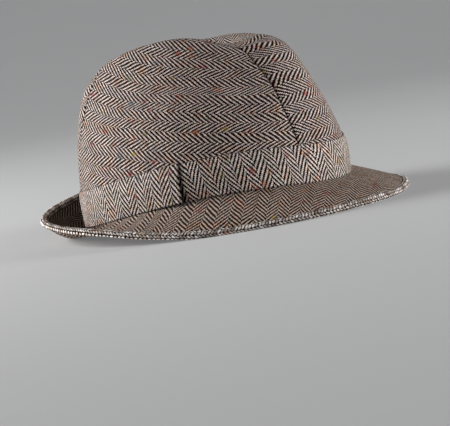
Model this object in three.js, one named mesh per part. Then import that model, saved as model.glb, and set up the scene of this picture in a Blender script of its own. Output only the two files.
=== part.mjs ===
// Trilby hat in herringbone tweed, cut and sewn: two side panels, a centre panel that runs from the front
// over the dented top and down the back, a band of the same cloth and a short brim with a rolled edge.
// Millimetres. +X is the front of the hat, +Y the wearer's left, +Z up. The hat rests on z = 0 and its
// footprint is centred on the origin.
import * as THREE from 'three';

// Head opening and crown
const headLength = 206;
const headWidth = 166;
const crownCloth = 2;
const crownHeight = 126;
const dentDepth = 17;
const pinchDepth = 5;
// How far the joint of crown and brim rises from front and back towards the sides
const sideArch = 9.5;
const archForward = 0.6;

// Band
const bandCloth = 1.6;
const bandHeight = 27;
const bandTuckTurn = -82;
const bandOverlap = 6;
const bandEndLift = 16;
const bandEndFlare = 1.8;

// Brim
const brimCloth = 3;
const brimFront = 40;
const brimBack = 27.5;
const brimSide = 38;
const edgeWidth = 6;
const edgeThickness = 5;

// Fits: the gap between pieces that are sewn together, and how far the cloth flattens where it rests
const gap = 0.3;
const settling = 0.8;

// How finely the cloth is divided: along and up a side panel, across the centre panel, and round the brim
const sideSteps = 30;
const wallSteps = 14;
const centreSteps = 8;
const ringSteps = 72;
const bandRows = 5;
const brimRows = 5;
const edgeSides = 8;

// Crown wall: rise is the share of the way up from the foot to the ridge; front and back are shares of
// half the crown's length there, side is a share of half its width, and seam is the angle in degrees from
// the front at which a side panel's front seam lies; its back seam mirrors it.
const wallTable = [
  { rise: 0.0, front: 1.0, back: 1.0, side: 1.0, seam: 29.5 },
  { rise: 0.12, front: 1.015, back: 1.0, side: 0.99, seam: 29.6 },
  { rise: 0.25, front: 1.015, back: 1.0, side: 0.945, seam: 29.8 },
  { rise: 0.4, front: 0.985, back: 0.985, side: 0.875, seam: 30.4 },
  { rise: 0.55, front: 0.945, back: 0.965, side: 0.79, seam: 31.9 },
  { rise: 0.63, front: 0.922, back: 0.955, side: 0.7, seam: 33.3 },
  { rise: 0.7, front: 0.9, back: 0.945, side: 0.605, seam: 35.0 },
  { rise: 0.8, front: 0.865, back: 0.915, side: 0.525, seam: 37.8 },
  { rise: 0.9, front: 0.82, back: 0.86, side: 0.455, seam: 41.0 },
  { rise: 0.96, front: 0.78, back: 0.81, side: 0.405, seam: 42.8 },
  { rise: 1.0, front: 0.72, back: 0.75, side: 0.355, seam: 44.0 },
];

// Ridges and dent along the top: along runs from -1 at the back to 1 at the front of the ridges; right and
// left are the heights of the wearer's right and left ridge as shares of the crown's height, dent a share
// of the dent's depth. A negative dent is the swell of the centre panel between the two pinches.
const topTable = [
  { along: -1.0, right: 0.85, left: 0.85, dent: 0.0 },
  { along: -0.72, right: 0.935, left: 0.92, dent: 0.25 },
  { along: -0.4, right: 0.985, left: 0.95, dent: 0.75 },
  { along: -0.1, right: 1.0, left: 0.955, dent: 1.0 },
  { along: 0.15, right: 0.994, left: 0.95, dent: 1.0 },
  { along: 0.4, right: 0.955, left: 0.945, dent: 0.7 },
  { along: 0.58, right: 0.902, left: 0.93, dent: 0.2 },
  { along: 0.75, right: 0.86, left: 0.905, dent: -0.2 },
  { along: 0.9, right: 0.86, left: 0.88, dent: -0.15 },
  { along: 1.0, right: 0.85, left: 0.85, dent: 0.0 },
];

// Pinch in the front of each side panel: where it lies and how far it spreads, in degrees and in rise
const pinch = { turn: 50, rise: 0.62, turnSpread: 16, riseSpread: 0.16 };

// Brim by the angle from the front: drop of its edge under the foot of the crown's front as a share of the
// brim's front width, on the wearer's right and left, and belly, how far its middle hangs under the
// straight line from foot to edge, as a share of the same width. A negative drop is a turned-up edge.
const brimTable = [
  { turn: 0, dropRight: 0.43, dropLeft: 0.43, belly: -0.03 },
  { turn: 30, dropRight: 0.38, dropLeft: 0.37, belly: -0.02 },
  { turn: 60, dropRight: 0.32, dropLeft: 0.32, belly: -0.01 },
  { turn: 75, dropRight: 0.25, dropLeft: 0.25, belly: 0.0 },
  { turn: 90, dropRight: 0.09, dropLeft: 0.09, belly: 0.03 },
  { turn: 105, dropRight: -0.08, dropLeft: -0.08, belly: 0.06 },
  { turn: 120, dropRight: -0.19, dropLeft: -0.19, belly: 0.1 },
  { turn: 135, dropRight: -0.27, dropLeft: -0.33, belly: 0.16 },
  { turn: 150, dropRight: -0.33, dropLeft: -0.45, belly: 0.2 },
  { turn: 165, dropRight: -0.39, dropLeft: -0.5, belly: 0.22 },
  { turn: 180, dropRight: -0.45, dropLeft: -0.45, belly: 0.22 },
];

const halfLength = headLength / 2 + crownCloth;
const halfWidth = headWidth / 2 + crownCloth;
const radians = THREE.MathUtils.degToRad;
const vector = (x, y, z) => new THREE.Vector3(x, y, z);
// Step, in radians and in rise, over which a surface's slope is measured
const slopeStep = 0.015;
// Curve over a width: 0 at both ends and 1 in the middle
const humpAt = (share) => 1 - (2 * share - 1) ** 2;

// A column of a table at any value of its key column, on a smooth curve through the rows
function read(table, key, column, value) {
  const last = table.length - 1;
  let row = 0;
  while (row < last - 1 && value > table[row + 1][key]) row += 1;
  const slope = (r) => {
    const before = table[Math.max(r - 1, 0)];
    const after = table[Math.min(r + 1, last)];
    return (after[column] - before[column]) / (after[key] - before[key]);
  };
  const span = table[row + 1][key] - table[row][key];
  const t = THREE.MathUtils.clamp((value - table[row][key]) / span, 0, 1);
  const start = table[row][column];
  const end = table[row + 1][column];
  const leave = slope(row) * span;
  const arrive = slope(row + 1) * span;
  const curve = 2 * (start - end) + leave + arrive;
  const bend = 3 * (end - start) - 2 * leave - arrive;
  return ((curve * t + bend) * t + leave) * t + start;
}

// Height of the joint of crown and brim
const footHeight = (turn) => sideArch * Math.sin(turn) ** 2 * (1 + archForward * Math.cos(turn));

// Reach of the crown to the front or back at a rise
function reach(rise, cosine) {
  return halfLength * read(wallTable, 'rise', cosine > 0 ? 'front' : 'back', rise);
}

// Height between the ridges at a place along the top; across runs from -1 right to 1 left
function ridgeHeight(along, across) {
  const right = read(topTable, 'along', 'right', along);
  const left = read(topTable, 'along', 'left', along);
  return crownHeight * THREE.MathUtils.lerp(right, left, (1 + across) / 2);
}

// Point of the crown's outside at an angle from the front and a rise; positive angles are to the left
function wallPoint(turn, rise) {
  const cosine = Math.cos(turn);
  const foot = footHeight(turn);
  const off = (Math.abs(THREE.MathUtils.radToDeg(turn)) - pinch.turn) / pinch.turnSpread;
  const up = (rise - pinch.rise) / pinch.riseSpread;
  const inward = pinchDepth * Math.exp(-off * off - up * up);
  const x = reach(rise, cosine) * cosine;
  const y = (halfWidth * read(wallTable, 'rise', 'side', rise) - inward) * Math.sin(turn);
  return vector(x, y, foot + (ridgeHeight(cosine, Math.sign(Math.sin(turn))) - foot) * rise);
}

// Point of the dented top at a place in plan: the ridge's height less the dent, deepest on the centre line
function topPoint(x, y) {
  const along = THREE.MathUtils.clamp(x / reach(1, x), -1, 1);
  const width = halfWidth * read(wallTable, 'rise', 'side', 1) * Math.sqrt(Math.max(1 - along * along, 0));
  const across = width > 0 ? Math.min(Math.abs(y) / width, 1) : 1;
  const valley = Math.cos((across * Math.PI) / 2) ** 2;
  const dent = dentDepth * read(topTable, 'along', 'dent', along);
  return vector(x, y, ridgeHeight(along, across * Math.sign(y)) - dent * valley);
}

// Angle of the side panel's edge at a rise, and of its points between front and back
const seamTurn = (rise) => radians(read(wallTable, 'rise', 'seam', rise));
const sideTurn = (share, rise) => THREE.MathUtils.lerp(seamTurn(rise), Math.PI - seamTurn(rise), share);

// Grid of a side panel: rows from foot to ridge, columns from front to back; side is 1 left, -1 right
function sideGrid(side) {
  const grid = [];
  for (let r = 0; r <= wallSteps; r += 1) {
    const rise = r / wallSteps;
    const row = [];
    for (let c = 0; c <= sideSteps; c += 1) row.push(wallPoint(side * sideTurn(c / sideSteps, rise), rise));
    grid.push(row);
  }
  return grid;
}

// Row of the centre panel over the top: it joins two ridge points, bowed towards the nearer end of the top
function topRow(share) {
  const edge = seamTurn(1);
  const end = wallPoint(sideTurn(share, 1), 1);
  const frontBow = (1 - share) ** 2;
  const backBow = share ** 2;
  const row = [];
  for (let c = 0; c <= centreSteps; c += 1) {
    const across = 1 - (2 * c) / centreSteps;
    const arc = Math.cos(across * edge) - Math.cos(edge);
    const onArc = Math.sin(across * edge) / Math.sin(edge);
    const x = end.x + arc * (frontBow * reach(1, 1) - backBow * reach(1, -1));
    row.push(topPoint(x, end.y * THREE.MathUtils.lerp(across, onArc, Math.max(frontBow, backBow))));
  }
  return row;
}

// Grid of the centre panel: rows from the front's foot over the top to the back's foot, left to right
function centreGrid() {
  const wallRow = (rise, back) => {
    const row = [];
    for (let c = 0; c <= centreSteps; c += 1) {
      const turn = (1 - (2 * c) / centreSteps) * seamTurn(rise);
      row.push(wallPoint(back ? Math.PI - turn : turn, rise));
    }
    return row;
  };
  const grid = [];
  for (let r = 0; r < wallSteps; r += 1) grid.push(wallRow(r / wallSteps, false));
  for (let c = 0; c <= sideSteps; c += 1) grid.push(topRow(c / sideSteps));
  for (let r = wallSteps - 1; r >= 0; r -= 1) grid.push(wallRow(r / wallSteps, true));
  return grid;
}

// Directions square to a grid's surface; facing is 1 or -1, whichever points out of the hat
function directions(grid, facing, ring = false) {
  const cols = grid[0].length;
  return grid.map((row, r) =>
    row.map((point, c) => {
      const near = ring ? row[(c + cols - 1) % cols] : row[Math.max(c - 1, 0)];
      const far = ring ? row[(c + 1) % cols] : row[Math.min(c + 1, cols - 1)];
      const below = grid[Math.max(r - 1, 0)][c];
      const above = grid[Math.min(r + 1, grid.length - 1)][c];
      const normal = far.clone().sub(near).cross(above.clone().sub(below));
      return normal.normalize().multiplyScalar(facing);
    }),
  );
}

// Grid moved along its directions
const moved = (grid, normals, distance) =>
  grid.map((row, r) => row.map((point, c) => point.clone().addScaledVector(normals[r][c], distance)));

// Grid drawn back by half a gap, square to its seams; a side panel's last row is a seam too
function drawnBack(grid, lastRowToo) {
  const lastRow = grid.length - 1;
  const lastCol = grid[0].length - 1;
  const onSeam = (r, c) => grid[r]?.[c] && (c === 0 || c === lastCol || (lastRowToo && r === lastRow));
  return grid.map((row, r) =>
    row.map((point, c) => {
      if (!onSeam(r, c)) return point.clone();
      const beside = [[r - 1, c], [r + 1, c], [r, c - 1], [r, c + 1]].filter(([i, j]) => onSeam(i, j));
      const ends = beside.map(([i, j]) => grid[i][j]);
      const along = ends.at(-1).clone().sub(ends.length > 1 ? ends[0] : point);
      const inR = lastRowToo && r === lastRow ? r - 1 : r;
      const inC = THREE.MathUtils.clamp(c, 1, lastCol - 1);
      const inward = grid[inR][inC].clone().sub(point).projectOnPlane(along.normalize());
      return point.clone().addScaledVector(inward.normalize(), gap / 2);
    }),
  );
}

// Closed body between two grids of the same size; a ring's last column joins its first
function bodyBetween(outer, inner, ring = false) {
  const rows = outer.length;
  const cols = outer[0].length;
  const steps = ring ? cols : cols - 1;
  const at = (r, c, layer) => layer * rows * cols + r * cols + (c % cols);
  const index = [];
  const quad = (a, b, c, d) => index.push(a, b, c, a, c, d);
  for (let r = 0; r < rows - 1; r += 1) {
    for (let c = 0; c < steps; c += 1) {
      quad(at(r, c, 0), at(r, c + 1, 0), at(r + 1, c + 1, 0), at(r + 1, c, 0));
      quad(at(r, c, 1), at(r + 1, c, 1), at(r + 1, c + 1, 1), at(r, c + 1, 1));
    }
    if (!ring) {
      quad(at(r, 0, 0), at(r + 1, 0, 0), at(r + 1, 0, 1), at(r, 0, 1));
      quad(at(r, steps, 0), at(r, steps, 1), at(r + 1, steps, 1), at(r + 1, steps, 0));
    }
  }
  for (let c = 0; c < steps; c += 1) {
    quad(at(0, c, 0), at(0, c, 1), at(0, c + 1, 1), at(0, c + 1, 0));
    quad(at(rows - 1, c, 0), at(rows - 1, c + 1, 0), at(rows - 1, c + 1, 1), at(rows - 1, c, 1));
  }
  return facingOut([...outer.flat(), ...inner.flat()], index);
}

// Geometry from points and triangles, turned so that its faces point out of the body
function facingOut(points, index) {
  let volume = 0;
  for (let i = 0; i < index.length; i += 3) {
    const [a, b, c] = [points[index[i]], points[index[i + 1]], points[index[i + 2]]];
    volume += a.dot(b.clone().cross(c));
  }
  const geometry = new THREE.BufferGeometry().setFromPoints(points);
  geometry.setIndex(volume > 0 ? index : index.reverse());
  return geometry;
}

// Crown: the three panels share their seam points, so the walls are mitred there and stay a gap apart
function crownPanels() {
  const grids = { left: sideGrid(1), right: sideGrid(-1), centre: centreGrid() };
  const normals = {
    left: directions(grids.left, 1),
    right: directions(grids.right, -1),
    centre: directions(grids.centre, -1),
  };
  const seams = [
    { side: normals.left, edge: 0 },
    { side: normals.right, edge: centreSteps },
  ];
  for (const { side, edge } of seams) {
    normals.centre.forEach((row, r) => {
      const up = Math.min(r, wallSteps, normals.centre.length - 1 - r);
      const along = THREE.MathUtils.clamp(r - wallSteps, 0, sideSteps);
      const shared = row[edge].clone().add(side[up][along]).normalize();
      row[edge].copy(shared);
      side[up][along].copy(shared);
    });
  }
  const feet = [normals.left[0], normals.right[0], normals.centre[0], normals.centre.at(-1)];
  feet.flat().forEach((direction) => direction.setZ(0).normalize());
  const panel = (name, lastRowToo) => {
    const outer = drawnBack(grids[name], lastRowToo);
    return bodyBetween(outer, moved(outer, normals[name], -crownCloth));
  };
  return { left: panel('left', true), right: panel('right', true), centre: panel('centre', false) };
}

// Band: a strip round the crown's foot whose last end lies over its first, on the right of the hat
function bandBody() {
  const start = bandTuckTurn - bandOverlap;
  const length = 360 + bandOverlap;
  const outward = (turn, rise) => {
    const around = wallPoint(turn + slopeStep, rise).sub(wallPoint(turn - slopeStep, rise));
    const upward = wallPoint(turn, rise + slopeStep).sub(wallPoint(turn, Math.max(rise - slopeStep, 0)));
    return around.cross(upward).normalize();
  };
  const inner = [];
  const outer = [];
  for (let r = 0; r <= bandRows; r += 1) {
    const innerRow = [];
    const outerRow = [];
    for (let c = 0; c <= ringSteps; c += 1) {
      const turn = radians(start + (length * c) / ringSteps);
      const foot = footHeight(turn);
      const rise = (gap + (bandHeight * r) / bandRows) / (wallPoint(turn, 1).z - foot);
      const left = (length * (ringSteps - c)) / ringSteps;
      const lift = 1 - THREE.MathUtils.smoothstep(left, bandOverlap, bandOverlap + bandEndLift);
      const loose = (1 - THREE.MathUtils.smoothstep(left, 0, bandOverlap)) * (1 - r / bandRows);
      const stand = gap + lift * (bandCloth + gap) + loose * bandEndFlare;
      const point = wallPoint(turn, rise);
      const direction = outward(turn, rise);
      innerRow.push(point.clone().addScaledVector(direction, stand));
      outerRow.push(point.clone().addScaledVector(direction, stand + bandCloth));
    }
    inner.push(innerRow);
    outer.push(outerRow);
  }
  return bodyBetween(outer, inner);
}

// Point of the brim's top at an angle and a share of the way from the crown's foot to the edge; a share
// under 0 lies level under the crown's wall
function brimPoint(turn, share) {
  const cosine = Math.cos(turn);
  const sine = Math.sin(turn);
  const angle = THREE.MathUtils.radToDeg(Math.acos(THREE.MathUtils.clamp(cosine, -1, 1)));
  const wide = cosine > 0 ? brimFront : brimBack;
  const drop = brimFront * read(brimTable, 'turn', sine > 0 ? 'dropLeft' : 'dropRight', angle);
  const belly = brimFront * read(brimTable, 'turn', 'belly', angle);
  const foot = footHeight(turn);
  const out = Math.max(share, 0);
  const x = (halfLength + wide * share) * cosine;
  const y = (halfWidth + brimSide * share) * sine;
  return vector(x, y, foot - gap - (drop + foot) * out - belly * humpAt(out));
}

// Share of the brim's width that a length takes up at an angle, next to the foot or next to the edge
function brimShare(turn, length, beside) {
  const measured = beside === 'edge' ? 1 - slopeStep : -slopeStep;
  return (length * slopeStep) / brimPoint(turn, measured + slopeStep).distanceTo(brimPoint(turn, measured));
}

// Brim: its inner rim lies under the crown's wall, its outer rim meets the rolled edge
function brimBody() {
  const top = [];
  for (let r = 0; r <= brimRows; r += 1) {
    const row = [];
    for (let c = 0; c < ringSteps; c += 1) {
      const turn = (2 * Math.PI * c) / ringSteps;
      const first = -brimShare(turn, crownCloth, 'foot');
      const last = 1 - brimShare(turn, edgeWidth / 2 + gap, 'edge');
      row.push(brimPoint(turn, THREE.MathUtils.lerp(first, last, r / brimRows)));
    }
    top.push(row);
  }
  return bodyBetween(top, moved(top, directions(top, -1, true), -brimCloth), true);
}

// Rolled edge: an oval section carried round the brim's rim, as thick as the turned cloth
function edgeBody() {
  const rows = [];
  for (let s = 0; s < edgeSides; s += 1) {
    const around = (2 * Math.PI * s) / edgeSides;
    const row = [];
    for (let c = 0; c < ringSteps; c += 1) {
      const turn = (2 * Math.PI * c) / ringSteps;
      const rim = brimPoint(turn, 1);
      const out = rim.clone().sub(brimPoint(turn, 1 - slopeStep)).normalize();
      const ahead = brimPoint(turn + slopeStep, 1).sub(brimPoint(turn - slopeStep, 1)).normalize();
      const up = out.clone().cross(ahead).normalize();
      rim.addScaledVector(up, -brimCloth / 2);
      rim.addScaledVector(out, (edgeWidth / 2) * Math.cos(around));
      row.push(rim.addScaledVector(up, (edgeThickness / 2) * Math.sin(around)));
    }
    rows.push(row);
  }
  const index = [];
  for (let s = 0; s < edgeSides; s += 1) {
    for (let c = 0; c < ringSteps; c += 1) {
      const next = ((s + 1) % edgeSides) * ringSteps;
      const far = (c + 1) % ringSteps;
      index.push(s * ringSteps + c, s * ringSteps + far, next + far);
      index.push(s * ringSteps + c, next + far, next + c);
    }
  }
  return facingOut(rows.flat(), index);
}

const tweed = (color) => new THREE.MeshStandardMaterial({ color, roughness: 0.95, metalness: 0 });

// Pitch at which the hat rests by itself: the edge of its outline's lower hull that lies under its middle
function restPitch(geometries) {
  const points = geometries.flatMap((geometry) => {
    const place = geometry.getAttribute('position');
    return Array.from({ length: place.count }, (_, i) => ({ x: place.getX(i), z: place.getZ(i) }));
  });
  points.sort((a, b) => a.x - b.x || a.z - b.z);
  const hull = [];
  for (const point of points) {
    const turnsUp = (a, b) => (b.x - a.x) * (point.z - a.z) - (b.z - a.z) * (point.x - a.x) > 0;
    while (hull.length > 1 && !turnsUp(hull[hull.length - 2], hull[hull.length - 1])) hull.pop();
    hull.push(point);
  }
  const after = hull.findIndex((point) => point.x > 0);
  const [back, front] = [hull[after - 1], hull[after]];
  return Math.atan2(front.z - back.z, front.x - back.x);
}

// Hat turned to the pitch at which it rests, flattened where it touches the surface, and centred
function settled(pieces) {
  const geometries = pieces.map((piece) => piece.geometry);
  const pitch = restPitch(geometries);
  geometries.forEach((geometry) => geometry.rotateY(pitch));
  const box = new THREE.Box3();
  geometries.forEach((geometry) => box.expandByObject(new THREE.Mesh(geometry)));
  const floor = box.min.z + settling;
  const centre = box.getCenter(new THREE.Vector3());
  for (const geometry of geometries) {
    const place = geometry.getAttribute('position');
    for (let i = 0; i < place.count; i += 1) place.setZ(i, Math.max(place.getZ(i), floor));
    geometry.translate(-centre.x, -centre.y, -floor);
  }
}

const crown = crownPanels();
const pieces = [
  { name: 'crown_side_left', geometry: crown.left, material: tweed('#7d706a') },
  { name: 'crown_side_right', geometry: crown.right, material: tweed('#7d706a') },
  { name: 'crown_centre', geometry: crown.centre, material: tweed('#857872') },
  { name: 'hat_band', geometry: bandBody(), material: tweed('#80736c') },
  { name: 'brim', geometry: brimBody(), material: tweed('#62554c') },
  { name: 'brim_edge', geometry: edgeBody(), material: tweed('#6b5e56') },
];
settled(pieces);

const hat = new THREE.Group();
for (const { name, geometry, material } of pieces) {
  const mesh = new THREE.Mesh(geometry, material);
  mesh.name = name;
  hat.add(mesh);
}

export default hat;
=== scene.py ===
"""Trilby in herringbone tweed: cloth panels, band, brim and rolled edge in place of the plain solids.

Shapes are worked out in millimetres in the hat's own frame, with +X to the front, +Y to the wearer's left
and z = 0 at the foot of the crown's front. They are then turned to the pitch at which the hat rests and
moved onto the frame.
"""
import math

import bpy
import numpy as np
from mathutils import Matrix, Vector


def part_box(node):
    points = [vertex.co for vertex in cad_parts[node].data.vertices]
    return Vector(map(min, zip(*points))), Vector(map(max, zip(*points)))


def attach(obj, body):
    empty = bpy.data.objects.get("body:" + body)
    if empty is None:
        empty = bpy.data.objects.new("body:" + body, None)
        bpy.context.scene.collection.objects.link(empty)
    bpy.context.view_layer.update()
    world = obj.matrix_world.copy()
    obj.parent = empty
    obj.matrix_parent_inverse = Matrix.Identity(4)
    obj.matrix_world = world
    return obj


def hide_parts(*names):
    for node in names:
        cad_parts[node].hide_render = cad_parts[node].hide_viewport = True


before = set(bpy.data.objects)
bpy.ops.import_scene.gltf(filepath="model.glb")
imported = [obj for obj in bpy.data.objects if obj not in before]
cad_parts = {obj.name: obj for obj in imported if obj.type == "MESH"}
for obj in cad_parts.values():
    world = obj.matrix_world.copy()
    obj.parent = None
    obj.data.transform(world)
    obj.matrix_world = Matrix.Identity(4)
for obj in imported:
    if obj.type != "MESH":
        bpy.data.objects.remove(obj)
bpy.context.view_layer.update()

MM = 0.001

# Head opening and crown
HEAD_LENGTH = 206
HEAD_WIDTH = 166
CROWN_CLOTH = 2
CROWN_HEIGHT = 126
DENT_DEPTH = 17
PINCH_DEPTH = 5
SIDE_ARCH = 9.5
ARCH_FORWARD = 0.6

# Band
BAND_CLOTH = 1.6
BAND_HEIGHT = 27
BAND_TUCK_TURN = -82
BAND_OVERLAP = 6
BAND_END_LIFT = 16

# Brim and its rolled edge
BRIM_CLOTH = 3
BRIM_FRONT = 40
BRIM_BACK = 27.5
BRIM_SIDE = 38
EDGE_WIDTH = 6
EDGE_THICKNESS = 5

# Fits and rest
GAP = 0.3
REST_PITCH = math.radians(-3.542)

# Herringbone: spacing of the threads along a column and of those across it, threads in a column's width,
# and picks in one step of the twill
END_SPACING = 0.775
PICK_SPACING = 1.13
ENDS_PER_COLUMN = 10
PICKS_PER_REPEAT = 4

HALF_LENGTH = HEAD_LENGTH / 2 + CROWN_CLOTH
HALF_WIDTH = HEAD_WIDTH / 2 + CROWN_CLOTH

# Crown wall by its rise, a share of the way from the foot to the ridge. Seam is the front seam's angle.
WALL = dict(
    rise=(0, 0.12, 0.25, 0.4, 0.55, 0.63, 0.7, 0.8, 0.9, 0.96, 1),
    front=(1, 1.015, 1.015, 0.985, 0.945, 0.922, 0.9, 0.865, 0.82, 0.78, 0.72),
    back=(1, 1, 1, 0.985, 0.965, 0.955, 0.945, 0.915, 0.86, 0.81, 0.75),
    side=(1, 0.99, 0.945, 0.875, 0.79, 0.7, 0.605, 0.525, 0.455, 0.405, 0.355),
    seam=(29.5, 29.6, 29.8, 30.4, 31.9, 33.3, 35, 37.8, 41, 42.8, 44),
)

# Ridges and dent along the top, from the back to the front of the ridges
TOP = dict(
    along=(-1, -0.72, -0.4, -0.1, 0.15, 0.4, 0.58, 0.75, 0.9, 1),
    right=(0.85, 0.935, 0.985, 1, 0.994, 0.955, 0.902, 0.86, 0.86, 0.85),
    left=(0.85, 0.92, 0.95, 0.955, 0.95, 0.945, 0.93, 0.905, 0.88, 0.85),
    dent=(0, 0.25, 0.75, 1, 1, 0.7, 0.2, -0.2, -0.15, 0),
)
PINCH = dict(turn=50, rise=0.62, turn_spread=16, rise_spread=0.16)

# Brim by the angle from the front: drop of the edge on each side and belly, shares of the front width
BRIM = dict(
    turn=(0, 30, 60, 75, 90, 105, 120, 135, 150, 165, 180),
    right=(0.43, 0.38, 0.32, 0.25, 0.09, -0.08, -0.19, -0.27, -0.33, -0.39, -0.45),
    left=(0.43, 0.37, 0.32, 0.25, 0.09, -0.08, -0.19, -0.33, -0.45, -0.5, -0.45),
    belly=(-0.03, -0.02, -0.01, 0, 0.03, 0.06, 0.1, 0.16, 0.2, 0.22, 0.22),
)


# Shape of the hat

def read(table, key, column, value):
    """A column of a table at values of its key column, on a smooth curve through the rows."""
    keys = np.array(table[key], float)
    rows = np.array(table[column], float)
    before = np.maximum(np.arange(len(keys)) - 1, 0)
    after = np.minimum(np.arange(len(keys)) + 1, len(keys) - 1)
    slopes = (rows[after] - rows[before]) / (keys[after] - keys[before])
    row = np.clip(np.searchsorted(keys, value) - 1, 0, len(keys) - 2)
    span = keys[row + 1] - keys[row]
    t = np.clip((value - keys[row]) / span, 0, 1)
    start, end = rows[row], rows[row + 1]
    leave, arrive = slopes[row] * span, slopes[row + 1] * span
    curve = 2 * (start - end) + leave + arrive
    bend = 3 * (end - start) - 2 * leave - arrive
    return ((curve * t + bend) * t + leave) * t + start


def mix(a, b, share):
    return a + (b - a) * share


def smooth_step(value, low, high):
    t = np.clip((value - low) / (high - low), 0, 1)
    return t * t * (3 - 2 * t)


def foot_height(turn):
    return SIDE_ARCH * np.sin(turn) ** 2 * (1 + ARCH_FORWARD * np.cos(turn))


def reach(rise, cosine):
    front = read(WALL, "rise", "front", rise)
    back = read(WALL, "rise", "back", rise)
    return HALF_LENGTH * np.where(cosine > 0, front, back)


def ridge_height(along, across):
    right = read(TOP, "along", "right", along)
    left = read(TOP, "along", "left", along)
    return CROWN_HEIGHT * mix(right, left, (1 + across) / 2)


def wall_point(turn, rise):
    """Outside of the crown at an angle from the front, positive to the left, and a rise."""
    turn, rise = np.broadcast_arrays(turn, rise)
    cosine, sine = np.cos(turn), np.sin(turn)
    foot = foot_height(turn)
    off = (np.abs(np.degrees(np.arctan2(sine, cosine))) - PINCH["turn"]) / PINCH["turn_spread"]
    up = (rise - PINCH["rise"]) / PINCH["rise_spread"]
    inward = PINCH_DEPTH * np.exp(-off * off - up * up)
    x = reach(rise, cosine) * cosine
    y = (HALF_WIDTH * read(WALL, "rise", "side", rise) - inward) * sine
    z = foot + (ridge_height(cosine, np.sign(sine)) - foot) * rise
    return np.stack([x, y, z], -1)


def top_point(x, y):
    """Dented top at a place in plan: the ridges' height less the dent, deepest on the centre line."""
    along = np.clip(x / reach(np.ones_like(x), x), -1, 1)
    width = HALF_WIDTH * read(WALL, "rise", "side", 1.0) * np.sqrt(np.maximum(1 - along**2, 0))
    across = np.minimum(np.abs(y) / np.maximum(width, 1e-6), 1)
    valley = np.cos(across * math.pi / 2) ** 2
    dent = DENT_DEPTH * read(TOP, "along", "dent", along)
    return np.stack([x, y, ridge_height(along, across * np.sign(y)) - dent * valley], -1)


def seam_turn(rise):
    return np.radians(read(WALL, "rise", "seam", rise))


def side_turn(share, rise):
    return mix(seam_turn(rise), math.pi - seam_turn(rise), share)


# Rows that round a cloth's edge, as shares of the first full step
EDGE_ROUNDING = (0.0, 0.12, 0.35, 0.65)


def fine_steps(count, edge=0.012):
    """Shares from 0 to 1, closer together at both ends, where a cloth's edge is rounded."""
    ends = edge * np.array(EDGE_ROUNDING)
    middle = np.linspace(edge, 1 - edge, count)
    return np.concatenate([ends, middle, 1 - ends[::-1]])


def side_grid(side, shares, rises):
    rise, share = np.meshgrid(rises, shares, indexing="ij")
    return wall_point(side * side_turn(share, rise), rise)


def centre_grid(shares, rises, across):
    """Rows from the front's foot over the dented top to the back's foot, each from left to right."""
    rise, side = np.meshgrid(rises[:-1], across, indexing="ij")
    front = wall_point(side * seam_turn(rise), rise)
    back = wall_point(math.pi - side * seam_turn(rise), rise)[::-1]
    share, side = np.meshgrid(shares, across, indexing="ij")
    edge = float(seam_turn(1.0))
    ends = wall_point(side_turn(share, 1.0), np.ones_like(share))
    front_bow, back_bow = (1 - share) ** 2, share**2
    arc = np.cos(side * edge) - math.cos(edge)
    on_arc = np.sin(side * edge) / math.sin(edge)
    one = np.array(1.0)
    x = ends[..., 0] + arc * (front_bow * reach(one, 1) - back_bow * reach(one, -1))
    y = ends[..., 1] * mix(side, on_arc, np.maximum(front_bow, back_bow))
    return np.concatenate([front, top_point(x, y), back])


def brim_point(turn, share):
    """Top of the brim at an angle and a share of the way from the crown's foot to the edge."""
    turn, share = np.broadcast_arrays(turn, share)
    cosine, sine = np.cos(turn), np.sin(turn)
    angle = np.degrees(np.arccos(np.clip(cosine, -1, 1)))
    left, right = read(BRIM, "turn", "left", angle), read(BRIM, "turn", "right", angle)
    drop = BRIM_FRONT * np.where(sine > 0, left, right)
    belly = BRIM_FRONT * read(BRIM, "turn", "belly", angle)
    wide = np.where(cosine > 0, BRIM_FRONT, BRIM_BACK)
    foot = foot_height(turn)
    out = np.maximum(share, 0)
    hump = 1 - (2 * out - 1) ** 2
    x = (HALF_LENGTH + wide * share) * cosine
    y = (HALF_WIDTH + BRIM_SIDE * share) * sine
    return np.stack([x, y, foot - GAP - (drop + foot) * out - belly * hump], -1)


# Grids, walls and meshes

# How far below a grid's middle the point lies that its outside faces away from
INSIDE_DROP = 20

# Waves in a ripple of the cloth, and the spread of their lengths
WAVES = 7
WAVE_SPREAD = (0.6, 1.6)


def unit(vectors):
    return vectors / np.maximum(np.linalg.norm(vectors, axis=-1, keepdims=True), 1e-9)


def directions(grid, ring=False):
    """Directions square to a grid's surface, pointing away from the hat's middle line."""
    if ring:
        along = np.roll(grid, -1, 1) - np.roll(grid, 1, 1)
    else:
        along = np.gradient(grid, axis=1)
    normal = unit(np.cross(along, np.gradient(grid, axis=0)))
    middle = grid.mean(axis=(0, 1)) * (0, 0, 1) - (0, 0, INSIDE_DROP)
    facing = np.sign(np.sum(normal * (grid - middle), axis=-1).sum())
    return normal * facing


def lengths(grid, axis):
    """Length along the grid's lines from their first point."""
    steps = np.linalg.norm(np.diff(grid, axis=axis), axis=-1)
    start = np.zeros_like(np.take(steps, [0], axis=axis))
    return np.concatenate([start, np.cumsum(steps, axis=axis)], axis=axis)


def from_borders(grid, ring=False):
    """Distance of each point from the nearest border of its grid."""
    up = lengths(grid, 0)
    near = np.minimum(up, up[-1:] - up)
    if ring:
        return near
    over = lengths(grid, 1)
    return np.minimum(near, np.minimum(over, over[:, -1:] - over))


def rounded(distance, radius):
    """Half thickness of a wall whose edges are rounded, as a share: 0 on the border and 1 inside it."""
    t = np.clip(distance / radius, 0, 1)
    return np.sqrt(np.maximum(1 - (1 - t) ** 2, 0))


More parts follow.
